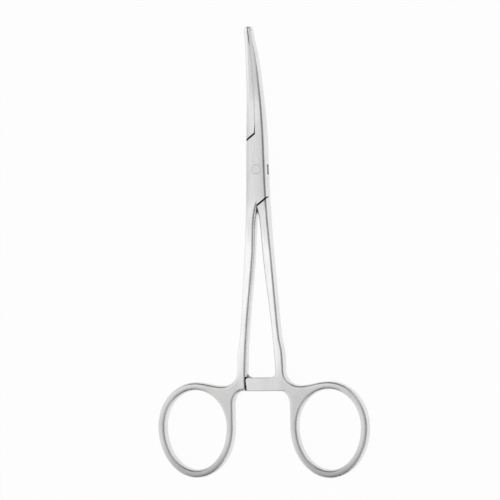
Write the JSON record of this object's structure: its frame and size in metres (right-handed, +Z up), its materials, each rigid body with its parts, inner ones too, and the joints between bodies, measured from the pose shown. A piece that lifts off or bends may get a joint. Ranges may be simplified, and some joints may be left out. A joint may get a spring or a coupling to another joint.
{
  "type": "hemostat forceps",
  "caption": "Curved locking artery clamp with box lock, slim serrated jaws, ratchet bars and finger rings, closed and lying flat.",
  "frame": {"origin": "where the pivot axis meets the flat back face of the box lock, on which the forceps lie", "axes": "+Y along the closed forceps towards the jaw tips, +X towards the ring on the front ratchet bar's side, +Z up along the pivot axis, towards which the jaws curve"},
  "size_m": [0.0672, 0.1395, 0.0111],
  "materials": {
    "satin_steel": "satin",
    "rivet_steel": "satin"
  },
  "bodies": {
    "box_side": {"box_half": "satin_steel", "pivot_pin": "rivet_steel"},
    "tongue_side": {"tongue_half": "satin_steel"}
  },
  "joints": [
    {"name": "box_lock_hinge", "type": "hinge", "parent": "box_side", "child": "tongue_side", "pos_m": [0, 0, 0.0024], "axis": [0, 0, 1], "range_deg": [0, 50]}
  ]
}
